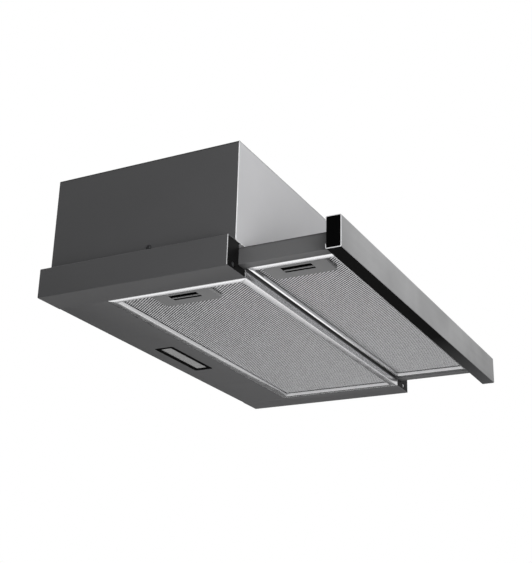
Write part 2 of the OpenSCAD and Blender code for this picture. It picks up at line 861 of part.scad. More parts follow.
// Limit switch that the drawer's left wall reaches when it is pushed in
plunger_y = -drawer_back_gap + switch_gap;
switch_y = plunger_y + plunger_out;
module limit_switch() {
    color(moulding) difference() {
        span(-wall_x - switch_w / 2, -wall_x + switch_w / 2, switch_y, -sheet,
             switch_z - switch_h / 2, switch_z + switch_h / 2);
        translate([-wall_x + drawer_t / 2, switch_y - over, switch_z])
            rotate([-90, 0, 0]) cylinder(r = plunger_r + pin_gap, h = plunger_bore);
    }
}
module switch_plunger() {
    color([0.75, 0.2, 0.15]) translate([-wall_x + drawer_t / 2, plunger_y, switch_z])
        rotate([-90, 0, 0]) cylinder(r = plunger_r, h = plunger_len);
}

// Screws of the body: housing sides, tray flanges, guide blocks and duct collar
module body_screws() {
    color(steel) {
        pair() {
            translate([-house_x, side_screw_y, side_screw_z]) rotate([0, -90, 0]) screw();
            flange_screw_places() translate([0, 0, tray_h + sheet]) screw();
            translate([-guide_screw_x, -tray_d + guide_set + guide_sink, guide_screw_z])
                rotate([90, 0, 0]) screw();
        }
        collar_screw_places(hood_h + collar_flange_t) screw();
    }
}

// Drawer
module drawer_side_shape() {
    difference() {
        union() {
            run_y(out_y - sheet, drawer_back_y) folded([
                [-wall_x + flange_w, drawer_top_z], [-wall_x, drawer_top_z], [-wall_x, drawer_z],
                [-inner_x, drawer_z], [-inner_x, drawer_z + lip_h]
            ], drawer_t);
            span(-wall_x + drawer_t / 2, -wall_x + drawer_flange, out_y - sheet,
                 out_y - sheet + drawer_t, drawer_z + drawer_t / 2, drawer_top_z - drawer_t / 2);
        }
        panel_screw_places()
            translate([0, 0, -over]) cylinder(r = screw_r + hole_gap, h = drawer_t + 2 * over);
    }
}
// Places of the screws on the left, with z along -Y from the flange's inner face
module panel_screw_places() {
    for (z = panel_screw_z)
        translate([-wall_x + drawer_flange / 2 + drawer_t / 2, out_y - sheet + drawer_t, z])
            rotate([90, 0, 0]) children();
}
module drawer_left() {
    color(paint) difference() {
        drawer_side_shape();
        latch_slot(front_handle_y, front_z, -inner_x, drawer_t);
    }
}
module drawer_right() {
    color(paint) difference() {
        mirror([1, 0, 0]) drawer_side_shape();
        tab_slots(front_y0, front_y1, front_z, inner_x, drawer_t);
    }
}
module drawer_top() {
    color(paint) difference() {
        span(-wall_x, wall_x, out_y - sheet, -tray_d + top_tuck, drawer_top_z, drawer_top_z + sheet);
        switch_body_cut();
    }
}
module drawer_rear_bar() {
    y1 = -tray_d + bar_tuck;
    color(paint) run_x(-inner_x + fit_gap, inner_x - fit_gap) folded([
        [y1 - bar_w, drawer_z + bar_h], [y1 - bar_w, drawer_z],
        [y1, drawer_z], [y1, drawer_z + bar_h]
    ]);
}
module panel_skin() {
    color(steel) run_x(-panel_w / 2, panel_w / 2) folded([
        [out_y, panel_h - panel_lip], [out_y, panel_h], [out_y - panel_t, panel_h],
        [out_y - panel_t, 0], [out_y, 0], [out_y, panel_lip]
    ]);
}
module panel_back() {
    x = panel_w / 2 - cap_len - fit_gap;
    color(paint) difference() {
        span(-x, x, out_y - 2 * sheet, out_y - sheet, bend_r + cap_gap, panel_h - bend_r - cap_gap);
        pair() panel_screw_places() translate([0, 0, drawer_t - over])
            cylinder(r = screw_r + hole_gap, h = sheet + 2 * over);
    }
}
module panel_cap() {
    y0 = out_y - panel_t + sheet + cap_gap;
    y1 = out_y - sheet - cap_gap;
    wall = sheet * cap_wall_shares;
    color(moulding) difference() {
        run_x(-panel_w / 2, -panel_w / 2 + cap_len) translate([(y0 + y1) / 2, panel_h / 2])
            rounded(y1 - y0, panel_h - 2 * (sheet + cap_gap), bend_r);
        span(-panel_w / 2 + wall, -panel_w / 2 + cap_len + over, y0 + wall, y1 - wall,
             sheet + cap_gap + wall, panel_h - sheet - cap_gap - wall);
    }
}
cap_wall_shares = 2;
module panel_cap_left() { panel_cap(); }
module panel_cap_right() { mirror([1, 0, 0]) panel_cap(); }
module panel_screws() {
    color(steel) pair() panel_screw_places() mirror([0, 0, 1]) screw();
}

// Switch block on the drawer's top, behind the front panel
switch_plate_y = out_y + switch_plate_set + switch_plate_d / 2;
slider_z = drawer_top_z + sheet + switch_plate_t;
module switch_body_cut() {
    rim = switch_body_rim - fit_gap;
    translate([switch_plate_x, switch_plate_y, drawer_top_z - over])
        linear_extrude(sheet + 2 * over)
            rounded(switch_plate_w - 2 * rim, switch_plate_d - 2 * rim, switch_plate_r);
}
module slider_slot(x, run) {
    span(x - slider_slot_w / 2, x + run + slider_slot_w / 2,
         switch_plate_y - slider_slot_w / 2, switch_plate_y + slider_slot_w / 2,
         slider_z - slider_stem_h - slider_gap, slider_z + over);
}
module switch_plate() {
    color(moulding) difference() {
        translate([switch_plate_x, switch_plate_y, 0]) {
            translate([0, 0, drawer_top_z + sheet]) linear_extrude(switch_plate_t)
                rounded(switch_plate_w, switch_plate_d, switch_plate_r);
            translate([0, 0, drawer_top_z + sheet - switch_body_h])
                linear_extrude(switch_body_h + switch_plate_t / 2)
                    rounded(switch_plate_w - 2 * switch_body_rim,
                            switch_plate_d - 2 * switch_body_rim, switch_plate_r);
        }
        slider_slot(light_slot_x, light_travel);
        slider_slot(speed_slot_x, speed_travel);
    }
}
module slider(x) {
    color([0.3, 0.3, 0.31]) translate([x, switch_plate_y, slider_z]) {
        translate([0, 0, slider_gap]) difference() {
            linear_extrude(slider_h) rounded(slider_w, slider_d, slider_grip);
            for (k = [-1 : 1])
                translate([k * 2 * slider_grip, 0, slider_h])
                    cube([slider_grip, slider_d + over, slider_grip], center = true);
        }
        translate([-slider_stem / 2, -slider_stem / 2, -slider_stem_h])
            cube([slider_stem, slider_stem, slider_stem_h + slider_gap + slider_h / 2]);
    }
}
module light_slider() { slider(light_slot_x); }
module speed_slider() { slider(speed_slot_x); }

// Filter cassettes: y0 and y1 are the front and back edges, z is the underside.
// A bar of a border b wide is mitred to its neighbours, which are b0 and b1 wide.
module filter_bar(len, b, b0, b1) {
    reach = max(b, return_w) + over;
    intersection() {
        run_x(0, len) folded([
            [return_w, filter_t], [0, filter_t], [0, 0], [b * border_flat_share, 0], [b, border_rise]
        ], frame_t, frame_r);
        translate([0, 0, -over]) linear_extrude(filter_t + 2 * over) polygon([
            [mitre_gap, 0], [len - mitre_gap, 0],
            [len - mitre_gap - reach * b1 / b, reach], [mitre_gap + reach * b0 / b, reach]
        ]);
    }
}
module filter_frame(y0, y1, z, back_w = border_w) {
    color(alloy) {
        translate([-filter_w / 2, y0, z]) filter_bar(filter_w, border_w, border_w, border_w);
        translate([-filter_w / 2, y1, z]) mirror([0, 1, 0])
            filter_bar(filter_w, back_w, border_w, border_w);
        difference() {
            mirror([1, 0, 0]) translate([filter_w / 2, y0, z]) rotate([0, 0, 90])
                filter_bar(y1 - y0, border_w, border_w, back_w);
            latch_slot(handle_y(y0, y1, back_w), z, -filter_w / 2 + frame_t, frame_t);
        }
        translate([filter_w / 2, y0, z]) rotate([0, 0, 90])
            filter_bar(y1 - y0, border_w, border_w, back_w);
        for (k = [-1, 1])
            translate([filter_w / 2 - frame_t / 2, (y0 + y1) / 2 + k * tab_pitch / 2 - tab_w / 2,
                       z + tab_z])
                cube([tab_len + frame_t / 2, tab_w, tab_t]);
    }
}
module opening(w, d) {
    polygon([[-w / 2, 0], [0, -d / 2], [w / 2, 0], [0, d / 2]]);
}
// Outer mesh: staggered lozenge openings, left solid round the handle's cut-out
module filter_mesh(y0, y1, z, back_w = border_w) {
    margin = border_w * mesh_margin_share;
    x0 = -filter_w / 2 + margin;
    w = filter_w - 2 * margin;
    my0 = y0 + margin;
    d = y1 - back_w * mesh_margin_share - my0;
    pitch = (w - 2 * mesh_web) / (mesh_cols + 1 / 2);
    rows = floor((d - mesh_web) / mesh_pitch_y);
    yc = handle_y(y0, y1, back_w);
    hx0 = -filter_w / 2 + slot_x - cup_t - fit_gap;
    hx1 = hx0 + slot_w + 2 * (cup_t + fit_gap);
    hy = slot_len / 2 + cup_t + fit_gap;
    color(alloy) translate([0, 0, z + mesh_z]) linear_extrude(mesh_t) difference() {
        translate([x0, my0]) square([w, d]);
        for (i = [0 : mesh_cols - 1])
            for (j = [0 : rows - 1]) {
                x = x0 + mesh_web + pitch * (i + (j % 2 + 1) / 2);
                y = my0 + d / 2 + mesh_pitch_y * (j - (rows - 1) / 2);
                near_x = x - pitch < hx1 && x + pitch > hx0;
                near_y = abs(y - yc) < hy + mesh_pitch_y;
                if (!(near_x && near_y))
                    translate([x, y]) opening(pitch - mesh_web / 2, mesh_pitch_y * mesh_open_share);
            }
        translate([hx0, yc - hy]) square([hx1 - hx0, 2 * hy]);
    }
}
module filter_screen(y0, y1, z) {
    x0 = -filter_w / 2 + frame_t + screen_gap;
    w = filter_w - 2 * (frame_t + screen_gap);
    d = y1 - y0 - 2 * (frame_t + screen_gap);
    cell_w = (w - 2 * return_w) / screen_cols;
    cell_d = (d - 2 * return_w) / screen_rows;
    color(alloy) translate([0, 0, z + filter_t - frame_t - screen_gap - mesh_t])
        linear_extrude(mesh_t) difference() {
            translate([x0, y0 + frame_t + screen_gap]) square([w, d]);
            for (i = [0 : screen_cols - 1])
                for (j = [0 : screen_rows - 1])
                    translate([x0 + return_w + cell_w * i + screen_web / 2,
                               y0 + frame_t + screen_gap + return_w + cell_d * j + screen_web / 2])
                        square([cell_w - screen_web, cell_d - screen_web]);
        }
}
// Handle plate: a shallow pan whose rim seats on the mesh. Its finger slot has a closed cup
// behind it, open to the latch's grip.
module handle_plate(y, z) {
    px = -filter_w / 2 + border_w + plate_gap + plate_w / 2;
    sx0 = -filter_w / 2 + slot_x;
    sx1 = sx0 + slot_w;
    sy = slot_len / 2;
    back = plate_z + plate_t;
    rim_z = mesh_z - screen_gap;
    color([0.5, 0.5, 0.51]) translate([0, y, z]) difference() {
        union() {
            difference() {
                translate([px, 0, plate_z])
                    linear_extrude(rim_z - plate_z) rounded(plate_w, plate_len, plate_r);
                translate([px, 0, back]) linear_extrude(rim_z - back + over)
                    rounded(plate_w - 2 * plate_rim, plate_len - 2 * plate_rim, plate_r - plate_rim);
            }
            span(sx0 - cup_t, sx1 + cup_t, -sy - cup_t, sy + cup_t,
                 plate_z + plate_t / 2, cup_h + cup_t);
        }
        translate([(sx0 + sx1) / 2, 0, plate_z - over])
            linear_extrude(cup_h - plate_z + over) rounded(slot_w, slot_len, slot_r / 2);
        span(-filter_w / 2 + grip_x - latch_clear,
             -filter_w / 2 + grip_x + grip_w + latch_travel + latch_clear,
             -sy - cup_t - over, sy + cup_t + over,
             latch_z - latch_clear, latch_z + latch_t + latch_clear);
    }
}
// Latch: a fork that joins the tongue to the grip bar in the finger slot
module latch(y, z) {
    arm_y = slot_len / 2 + cup_t + 2 * latch_clear;
    x0 = -filter_w / 2;
    color([0.6, 0.6, 0.61]) translate([x0, y, z + latch_z]) {
        linear_extrude(latch_t) {
            translate([-latch_reach, -tongue_w / 2])
                square([latch_reach + latch_bar_x + latch_bar_w / 2, tongue_w]);
            translate([latch_bar_x, -arm_y - latch_arm_w])
                square([latch_bar_w, 2 * (arm_y + latch_arm_w)]);
            for (s = [-1, 1])
                translate([latch_bar_x, s * (arm_y + latch_arm_w / 2) - latch_arm_w / 2])
                    square([grip_x + grip_w - latch_bar_x, latch_arm_w]);
            translate([grip_x, -arm_y - latch_arm_w / 2])
                square([grip_w, 2 * arm_y + latch_arm_w]);
        }
        translate([grip_x, -slot_len / 2 + latch_clear, grip_z - latch_z])
            cube([grip_w, slot_len - 2 * latch_clear, latch_z - grip_z + latch_t / 2]);
    }
}
module rear_filter_frame() { filter_frame(rear_y0, rear_y1, 0); }
module rear_filter_mesh() { filter_mesh(rear_y0, rear_y1, 0); }
module rear_filter_screen() { filter_screen(rear_y0, rear_y1, 0); }
module rear_handle_plate() { handle_plate(rear_handle_y, 0); }
module rear_latch() { latch(rear_handle_y, 0); }
module front_filter_frame() { filter_frame(front_y0, front_y1, front_z, back_border_w); }
module front_filter_mesh() { filter_mesh(front_y0, front_y1, front_z, back_border_w); }
module front_filter_screen() { filter_screen(front_y0, front_y1, front_z); }
module front_handle_plate() { handle_plate(front_handle_y, front_z); }
module front_latch() { latch(front_handle_y, front_z); }

side_frame_left();
side_frame_right();
rear_panel();
guide_block_left();
guide_block_right();
runner_left();
runner_right();
housing_left();
housing_right();
housing_front();
housing_back();
housing_top();
duct_collar();
flap_pin();
flap_front();
flap_rear();
scroll_wrap();
scroll_side_left();
scroll_side_right();
impeller();
fan_shaft();
motor();
motor_bracket();
motor_grommets();
terminal_box();
terminal_lid();
cable_gland();
capacitor();
lamp_bezel();
lamp_lens();
lamp_board();
limit_switch();
switch_plunger();
body_screws();
drawer_left();
drawer_right();
drawer_top();
drawer_rear_bar();
slide_left();
slide_right();
panel_skin();
panel_back();
panel_cap_left();
panel_cap_right();
panel_screws();
switch_plate();
light_slider();
speed_slider();
rear_filter_frame();
rear_filter_mesh();
rear_filter_screen();
rear_handle_plate();
rear_latch();
front_filter_frame();
front_filter_mesh();
front_filter_screen();
front_handle_plate();
front_latch();
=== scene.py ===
import json
import math

import bmesh
import bpy
from mathutils import Euler, Matrix, Vector


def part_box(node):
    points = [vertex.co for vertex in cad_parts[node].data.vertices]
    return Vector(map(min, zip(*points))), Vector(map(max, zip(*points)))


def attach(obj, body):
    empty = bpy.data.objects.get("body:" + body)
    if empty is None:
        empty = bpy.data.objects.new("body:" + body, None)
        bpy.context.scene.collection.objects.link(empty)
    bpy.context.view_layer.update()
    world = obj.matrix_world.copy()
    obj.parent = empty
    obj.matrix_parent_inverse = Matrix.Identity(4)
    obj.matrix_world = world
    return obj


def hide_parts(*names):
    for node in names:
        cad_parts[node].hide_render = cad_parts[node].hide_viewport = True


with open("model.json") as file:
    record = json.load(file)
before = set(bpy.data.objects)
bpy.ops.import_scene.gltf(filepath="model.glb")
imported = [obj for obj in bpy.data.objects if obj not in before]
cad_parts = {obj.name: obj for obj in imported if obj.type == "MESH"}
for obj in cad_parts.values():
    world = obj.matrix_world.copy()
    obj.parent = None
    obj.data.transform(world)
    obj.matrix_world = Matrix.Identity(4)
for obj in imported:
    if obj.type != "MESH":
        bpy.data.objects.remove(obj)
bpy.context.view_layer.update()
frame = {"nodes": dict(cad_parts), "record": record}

bl_info = {
    "name": "Pull out range hood",
    "version": (1, 0, 0),
    "blender": (4, 5, 0),
    "location": "3D View > Sidebar > Hood",
    "description": "Dresses the solids of a pull out range hood and sets up its studio",
    "category": "Object",
}

MM = 0.001
FINISH = "finish_"
# Points of a solid nearer than WELD are one point, and a cut takes points nearer than SNAP as on it
WELD = 2e-6
SNAP = 1e-7
# The hood's far end, where the painted shade of the front panel and the painted sheen of the film end
FAR_END = 300 * MM
# The hole round each finger slot: its left and right ends, and half its length
SLOT_LEFT, SLOT_RIGHT, SLOT_HALF = -237.5 * MM, -218.7 * MM, 21.7 * MM
BODY_OF = {
    node: body
    for body, nodes in frame["record"]["behaviour"]["bodies"].items()
    for node in nodes
}
SLOT_OF = {row["node"]: row["material_slot"] for row in frame["record"]["subparts"]}


def middle(node):
    low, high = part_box(node)
    return (low + high) / 2


# Properties: the sizes and colours that a user would change


def colour(name, words, value):
    return bpy.props.FloatVectorProperty(
        name=name, description=words, subtype="COLOR", size=3, min=0, max=1, default=value
    )


def length(name, words, value, **more):
    return bpy.props.FloatProperty(
        name=name, description=words, default=value, unit="LENGTH", precision=5, **more
    )


def share(name, words, value):
    return bpy.props.FloatProperty(
        name=name, description=words, default=value, min=0, max=1, subtype="FACTOR"
    )


def watts(name, words, value):
    return bpy.props.FloatProperty(name=name, description=words, default=value, min=0)


class HoodFinish(bpy.types.PropertyGroup):
    paint: colour("Body paint", "Paint of the tray, the drawer and the housing", (0.066, 0.066, 0.068))
    drawer: colour("Drawer paint", "Paint of the drawer's walls", (0.10, 0.10, 0.102))
    front: colour("Front sheet", "Light coat of the housing's front sheet", (0.43, 0.43, 0.44))
    steel: colour("Steel", "Steel of the front panel, the shaft and the screws", (0.33, 0.33, 0.335))
    alloy: colour("Aluminium", "Filter frames", (0.62, 0.62, 0.63))
    strands: colour("Strands", "Outer meshes of the filters", (0.62, 0.62, 0.63))
    handle: colour("Handle plates", "Pressed plates round the finger slots", (0.20, 0.20, 0.202))
    zinc: colour("Zinc", "Zinc plated sheet and screws", (0.50, 0.51, 0.53))
    moulding: colour("Mouldings", "Black plastic of the collar, blower and boxes", (0.012, 0.012, 0.013))
    trim: colour("Trim", "Black plastic of the guide blocks", (0.004, 0.004, 0.004))
    # Pad: nearly black, painted shade standing in for the shadow inside the filter.
    pad: colour("Pad", "Layers of mesh inside a filter", (0.006, 0.006, 0.006))
    # Deep black inside the finger slots is painted shade; the bezel, end caps and latches are black
    # plastic.
    deep: colour("Deep black", "Bezel, end caps, latches and inside of the finger slots", (0.0015,) * 3)
    film: colour("Film", "Black film under the front panel", (0.002, 0.002, 0.002))
    # Film end: the film's lighter colour at the panel's far end, a painted sheen.
    film_end: colour("Film end", "The film at the panel's far end", (0.10, 0.10, 0.102))
    # Bare edge: bare metal of the cut edges, and partly a painted highlight where the edges catch the
    # light.
    bare: colour("Bare edge", "Cut edges of the side frames and the front panel", (0.62, 0.62, 0.63))
    # Painted highlight: a lighter copy of the front sheet's paint for its left and bottom bends.
    front_edge: colour("Front sheet edge", "Edges of the housing's front sheet", (0.8, 0.8, 0.81))
    cover: colour("Lens", "Frosted lens of the lamp", (0.19, 0.19, 0.19))
    board: colour("Board", "White board of the lamp", (0.6, 0.6, 0.57))
    grey: colour("Grey moulding", "Grey plastic of the sliders", (0.075, 0.075, 0.08))
    red: colour("Red moulding", "Red plastic of the plunger", (0.35, 0.016, 0.012))
    rubber: colour("Rubber", "Grommets", (0.02, 0.02, 0.02))
    paint_rough: share("Paint roughness", "Roughness of the body paint", 0.42)
    steel_rough: share("Steel roughness", "Roughness of the brushed steel", 0.34)


class HoodMesh(bpy.types.PropertyGroup):
    pitch_x: length("Opening width", "Distance between openings along the filter", 4.4 * MM)
    pitch_y: length("Opening length", "Distance between openings across the filter", 5.8 * MM)
    broad: bpy.props.FloatProperty(
        name="Cell", description="Side of a cell, in half widths of a broad strand", default=9.0
    )
    lean: bpy.props.FloatProperty(
        name="Lean", description="Width of the broad strands over that of the slim ones", default=2.0
    )
    sheet: length("Sheet", "Thickness of the expanded sheet", 0.08 * MM)
    twist: length("Twist", "Height by which the strands lean", 0.3 * MM)
    pleat: length("Pleat", "Pitch of the pleated core behind the mesh", 5.2 * MM)
    pleat_height: length("Pleat height", "Height of the core's pleats", 0.9 * MM)
    pleat_sheet: length("Pleat sheet", "Thickness of the core", 0.15 * MM)
    pleat_gap: length("Pleat gap", "Gap between the core and the mesh", 0.7 * MM)
    # Below this depth the slot's walls are deep black, painted shade.
    plate: length("Plate", "Depth of the handle plate's face before its slot darkens", 0.35 * MM)
    grip: length("Grip", "Depth of the latch's light grip", 0.9 * MM)


class HoodDetail(bpy.types.PropertyGroup):
    sheet_edge: length("Sheet edge", "Width of the broken edge of cut sheet", 0.14 * MM)
    # The bright strip is a bare cut edge and partly a painted highlight.
    bare_edge: length("Bare edge", "Width of the bright strip along a cut edge", 1.0 * MM)
    film: length("Film", "Depth of the black film under the front panel", 0.3 * MM)
    moulded_edge: length("Moulded edge", "Radius of the edges of mouldings", 0.5 * MM)
    bezel_edge: length("Bezel edge", "Radius of the edges of the lamp's bezel", 0.3 * MM)
    fine_edge: length("Fine edge", "Radius of the edges of thin mouldings and ribs", 0.25 * MM)
    screw_edge: length("Screw edge", "Width of the broken edge of a screw", 0.12 * MM)
    lens_rib: length("Lens rib", "Height of the ribs of the lamp's lens", 0.35 * MM)
    lens_ribs: bpy.props.IntProperty(
        name="Lens ribs", description="Ribs across the lamp's lens", default=34, min=4, max=80
    )
    gussets: bpy.props.IntProperty(
        name="Gussets", description="Ribs between the collar and its flange", default=12, min=4, max=32
    )


class HoodStudio(bpy.types.PropertyGroup):
    eye: bpy.props.FloatVectorProperty(
        name="Camera", description="Place of the camera", subtype="TRANSLATION", unit="LENGTH",
        default=(-1.32347, -0.87297, -0.48104),
    )
    turn: bpy.props.FloatVectorProperty(
        name="Camera turn", description="Rotation of the camera", subtype="EULER", unit="ROTATION",
        default=(math.radians(111.3164), math.radians(-1.43326), math.radians(-62.63878)),
    )
    lens: bpy.props.FloatProperty(
        name="Lens", description="Focal length in millimetres", default=69.813, min=10, max=300
    )
    floor_z: length("Floor", "Height of the floor below the hood", -1.9)
    floor_half: length("Floor size", "Half the side of the floor", 60)
    flag_size: bpy.props.FloatVectorProperty(
        name="Flag", description="Half the size of the dark flag behind the low light",
        subtype="XYZ_LENGTH", unit="LENGTH", size=2, default=(3.0, 0.85),
    )
    flag_place: bpy.props.FloatVectorProperty(
        name="Flag place", description="Middle of the flag", subtype="TRANSLATION", unit="LENGTH",
        default=(2.9, 1.4, -1.05),
    )
    flag_turn: bpy.props.FloatVectorProperty(
        name="Flag turn", description="Rotation of the flag", subtype="EULER", unit="ROTATION",
        default=(math.radians(90), 0, math.radians(-64)),
    )
    fill: watts("Fill", "Strength of the even light", 0.25)
    front_light: watts("Front light", "Watts of the soft light before the hood", 24)
    side_light: watts("Side light", "Watts of the soft light on the hood's left", 8)
    low_light: watts("Low light", "Watts of the soft light under the hood", 17)
    back_light: watts("Back light", "Watts of the soft light behind and above", 15)


SETTINGS = {
    "hood_finish": HoodFinish,
    "hood_mesh": HoodMesh,
    "hood_detail": HoodDetail,
    "hood_studio": HoodStudio,
}

# Materials


class Signal:
    """A node's socket that can be used in a sum."""

    def __init__(self, finish, socket):
        self.finish = finish
        self.socket = socket

    def sum(self, operation, *values):
        return self.finish.node("ShaderNodeMath", {"operation": operation}, *values)

    def __add__(self, other):
        return self.sum("ADD", self, other)

    def __sub__(self, other):
        return self.sum("SUBTRACT", self, other)

    def __mul__(self, other):
        return self.sum("MULTIPLY", self, other)

    def __truediv__(self, other):
        return self.sum("DIVIDE", self, other)

    def __pow__(self, other):
        return self.sum("POWER", self, other)

    def __rsub__(self, other):
        return self.sum("SUBTRACT", other, self)

    def __rtruediv__(self, other):
        return self.sum("DIVIDE", other, self)

    __radd__ = __add__
    __rmul__ = __mul__


class Finish:
    """A material in the making."""

    def __init__(self, name, **plain):
        self.material = bpy.data.materials.new(FINISH + name)
        self.material.use_nodes = True
        self.tree = self.material.node_tree
        self.shader = self.tree.nodes["Principled BSDF"]
        for socket, value in plain.items():
            self.set(socket.replace("_", " "), value)

    def set(self, socket, value):
        """Puts a value or a signal on the shader."""
        target = self.shader.inputs[socket]
        if isinstance(value, Signal):
            self.tree.links.new(value.socket, target)
        elif hasattr(target.default_value, "__len__"):
            target.default_value = (*value, 1)[: len(target.default_value)]
        else:
            target.default_value = value

    def node(self, kind, settings=None, *values, out=0, **named):
        """Adds a node: its settings first, then the values or links of its sockets."""
        made = self.tree.nodes.new(kind)
        for key, value in (settings or {}).items():
            if key == "stops":
                while len(made.color_ramp.elements) < len(value):
                    made.color_ramp.elements.new(0.5)
                for stop, (place, level) in zip(made.color_ramp.elements, value):
                    stop.position = place
                    stop.color = (level, level, level, 1)
            else:
                setattr(made, key, value)
        sockets = list(zip(made.inputs, values))
        sockets += [(made.inputs[key.replace("_", " ")], value) for key, value in named.items()]
        for socket, value in sockets:
            if isinstance(value, Signal):
                self.tree.links.new(value.socket, socket)
            elif value is not None:
                socket.default_value = value
        return Signal(self, made.outputs[out])

    def place(self, scale=(1, 1, 1)):
        """Object coordinates in metres, stretched by scale."""
        at = self.node("ShaderNodeTexCoord", out=3)
        return self.node("ShaderNodeMapping", {}, at, None, None, Vector(scale))

    def noise(self, scale, detail=2.0, rough=0.5, stretch=(1, 1, 1)):
        return self.node(
            "ShaderNodeTexNoise", {}, self.place(stretch), Scale=scale, Detail=detail, Roughness=rough
        )

    def along(self, start, end):
        """Goes from 0 to 1 between two places along the hood's width: the mask of the painted shade and
        sheen.
        """
        at = self.node("ShaderNodeSeparateXYZ", {}, self.place())
        return self.node("ShaderNodeMapRange", {}, at, start, end)

    def ramp(self, signal, *stops):
        return self.node("ShaderNodeValToRGB", {"stops": stops}, signal)

    def tint(self, factor, a, b):
        """A colour that goes from a to b."""
        made = self.tree.nodes.new("ShaderNodeMix")
        made.data_type = "RGBA"
        self.tree.links.new(factor.socket, made.inputs["Factor"])
        for socket, value in ((made.inputs[6], a), (made.inputs[7], b)):
            if isinstance(value, Signal):
                self.tree.links.new(value.socket, socket)
            else:
                socket.default_value = (*value, 1)
        return Signal(self, made.outputs[2])

    def bump(self, height, strength, distance):
        normal = self.node(
            "ShaderNodeBump", {}, Height=height, Strength=strength, Distance=distance
        )
        self.set("Normal", normal)


def scaled(value, factor):
    return tuple(min(1.0, part * factor) for part in value)


def painted(name, base, rough):
    """Powder coat: an even colour with a fine orange peel and faint handling marks."""
    f = Finish(name, Specular_IOR_Level=0.2)
    cloud = f.noise(7, detail=3)
    smear = f.noise(30, detail=4, rough=0.6, stretch=(1, 0.35, 1))
    f.set("Base Color", f.tint(cloud, scaled(base, 0.9), scaled(base, 1.12)))
    f.set("Roughness", rough - 0.05 + smear * 0.12)
    f.bump(f.noise(1400), strength=0.12, distance=0.1 * MM)


def brushed(name, base, rough, stretch, blotch=0.2, far_painted_shade=0.0):
    """Steel brushed along one direction: fine streaks, soft blotches, and a far end darkened by painted
    shade standing in for a dark reflection.
    """
    f = Finish(name, Metallic=1.0)
    streak = f.noise(900, detail=3, rough=0.6, stretch=stretch)
    broad = f.noise(160, stretch=stretch)
    cloud = f.ramp(f.noise(8, detail=3, rough=0.55), (0.35, 0.0), (0.65, 1.0))
    shade = f.tint(streak, scaled(base, 0.86), scaled(base, 1.12))
    blotch_and_painted_shade = cloud * blotch
    # Painted shade: the colour darkens toward the hood's far end in place of a dark reflection; the
    # blotches are random tone.
    if far_painted_shade:
        blotch_and_painted_shade = blotch_and_painted_shade + f.along(0.0, FAR_END) * far_painted_shade
    f.set("Base Color", f.tint(blotch_and_painted_shade, shade, scaled(base, 0.5)))
    f.set("Roughness", rough - 0.08 + streak * 0.1 + broad * 0.06 + cloud * 0.05)
    f.bump(streak * 0.7 + broad * 0.3, strength=0.22, distance=0.08 * MM)


def rolled(name, base, rough, relief=0.15):
    """Mill finish aluminium or zinc: faint rolling lines and small scuffs."""
    f = Finish(name, Metallic=1.0)
    line = f.noise(420, stretch=(0.05, 1, 1))
    scuff = f.noise(60, detail=5, rough=0.65)
    f.set("Base Color", f.tint(scuff, scaled(base, 0.88), scaled(base, 1.1)))
    f.set("Roughness", rough - 0.06 + scuff * 0.14 + line * 0.05)
    f.bump(line * 0.6 + scuff * 0.4, strength=relief, distance=0.1 * MM)


def moulded(name, base, rough=0.5, ior=1.4, far=None):
    """Moulded plastic with a fine spark grain; a painted sheen may lighten it toward the hood's far end.
    """
    f = Finish(name, IOR=ior)
    patch = f.noise(40, detail=3)
    shade = f.tint(patch, scaled(base, 0.85), scaled(base, 1.25))
    # Painted sheen: the colour lightens toward the far end in place of a reflection at grazing angles.
    if far:
        shade = f.tint(f.along(50 * MM, FAR_END), shade, far)
    f.set("Base Color", shade)
    f.set("Roughness", rough - 0.05 + patch * 0.1)
    f.bump(f.noise(2600, rough=0.7), strength=0.25, distance=0.08 * MM)


def spangled(name, base):
    """Galvanised sheet with faint spangles."""
    f = Finish(name, Metallic=1.0)
    cell = f.node("ShaderNodeTexVoronoi", {}, f.place(), Scale=260.0, out=1)
    grey = f.node("ShaderNodeSeparateColor", {}, cell, out=0)
    f.set("Base Color", f.tint(grey, scaled(base, 0.8), scaled(base, 1.12)))
    f.set("Roughness", 0.32 + grey * 0.12)
    f.bump(f.noise(300, detail=3), strength=0.1, distance=0.1 * MM)


def frosted(name, base):
    """Frosted lens of the lamp."""
    f = Finish(name, Coat_Weight=0.3, Coat_Roughness=0.2)
    cloud = f.noise(90)
    f.set("Base Color", f.tint(cloud, scaled(base, 0.92), scaled(base, 1.05)))
    f.set("Roughness", 0.3 + cloud * 0.1)
    f.bump(f.noise(1800), strength=0.1, distance=0.08 * MM)


